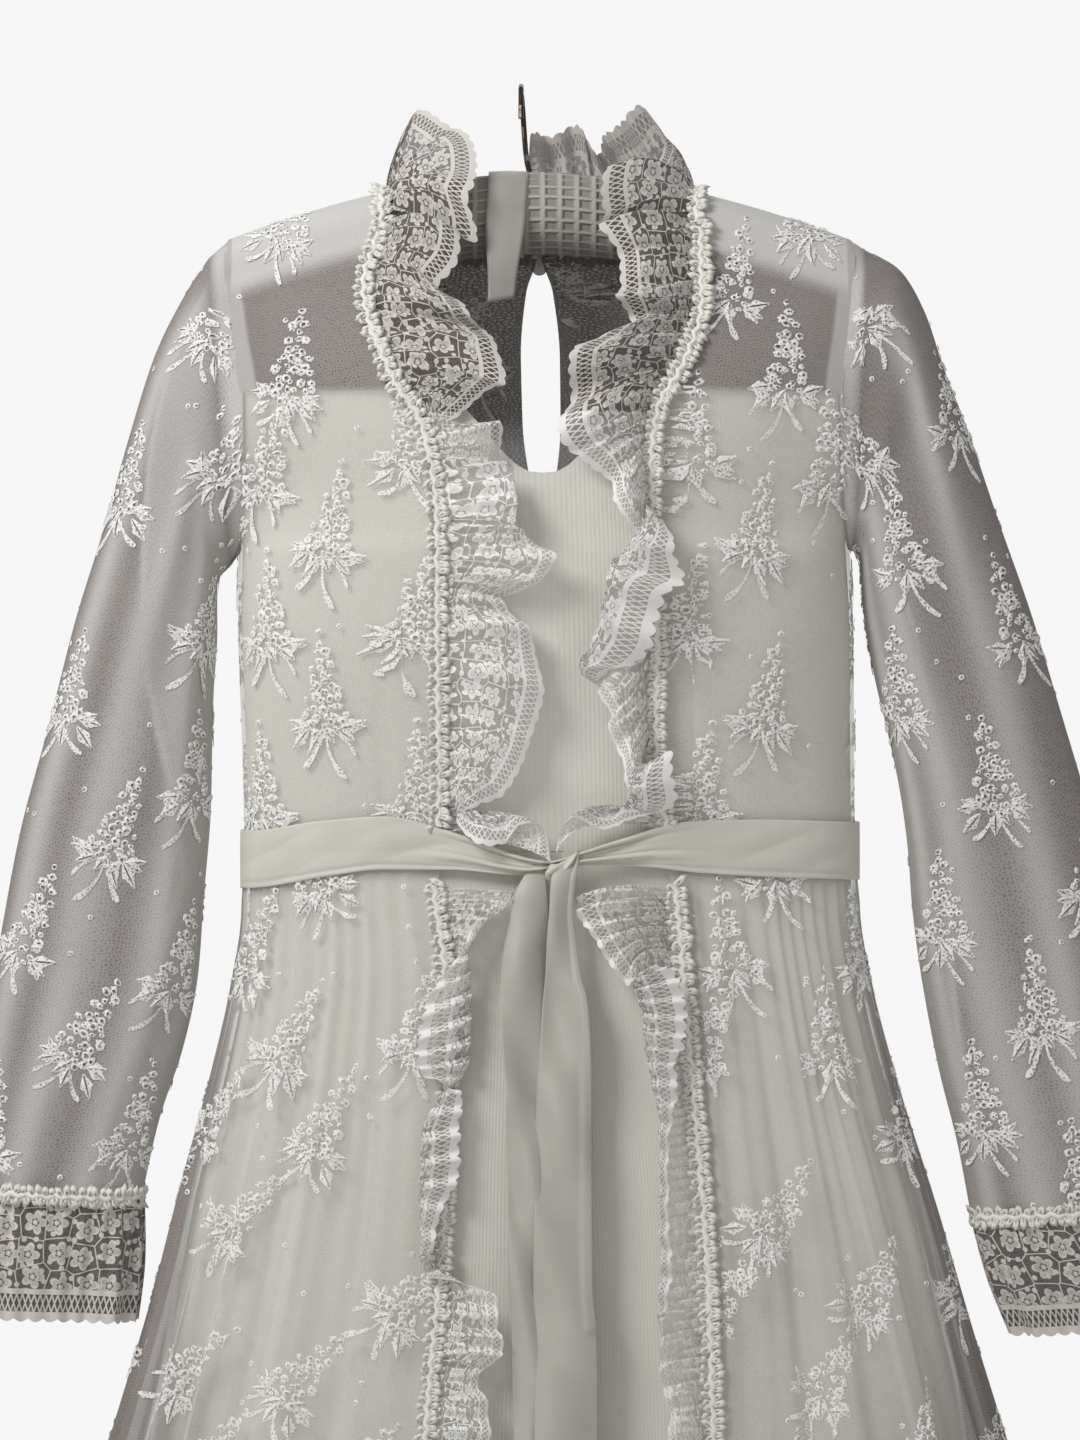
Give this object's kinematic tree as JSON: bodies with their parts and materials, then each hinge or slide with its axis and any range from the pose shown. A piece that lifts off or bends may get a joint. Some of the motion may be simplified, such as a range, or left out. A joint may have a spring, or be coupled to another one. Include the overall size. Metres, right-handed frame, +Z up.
{
  "type": "wedding dress on a padded hanger",
  "caption": "Long-sleeved sheer lace wedding dress with gathered ruffles down the open front, a plain under-dress and a tied ribbon belt, on a padded hanger.",
  "frame": {"origin": "the point inside the top of the hanger's hook that rests on a rod", "axes": "+Z up, the dress's front faces -Y, +X is to the right of someone who looks at the front"},
  "size_m": [0.9304, 0.313, 1.497],
  "materials": {
    "lace_net": "sheer net with embroidered sprays",
    "lace_white": "white lace flouncing",
    "crepe": "ivory crepe",
    "braid": "looped gimp",
    "satin": "satin ribbon",
    "pad": "waffle weave",
    "button": "covered button",
    "steel": "dark wire"
  },
  "bodies": {
    "root": {"belt_band": "satin", "belt_knot": "satin", "belt_tail_left": "satin", "belt_tail_right": "satin", "braid_bodice_left": "braid", "braid_bodice_right": "braid", "braid_cuff_left": "braid", "braid_cuff_right": "braid", "braid_neck": "braid", "braid_skirt_left": "braid", "braid_skirt_right": "braid", "hanger_bar": "pad", "hanger_hook": "steel", "hanger_ribbon": "satin", "lace_bodice_back_left": "lace_net", "lace_bodice_back_right": "lace_net", "lace_bodice_front_left": "lace_net", "lace_bodice_front_right": "lace_net", "lace_skirt_back_left": "lace_net", "lace_skirt_back_right": "lace_net", "lace_skirt_front_left": "lace_net", "lace_skirt_front_right": "lace_net", "neck_button": "button", "ruffle_bodice_left": "lace_white", "ruffle_bodice_right": "lace_white", "ruffle_cuff_left": "lace_white", "ruffle_cuff_right": "lace_white", "ruffle_neck": "lace_white", "ruffle_skirt_left": "lace_white", "ruffle_skirt_right": "lace_white", "sleeve_left": "lace_net", "sleeve_right": "lace_net", "underbodice_back": "crepe", "underbodice_front": "crepe", "underskirt_back": "crepe", "underskirt_front": "crepe"}
  },
  "joints": []
}
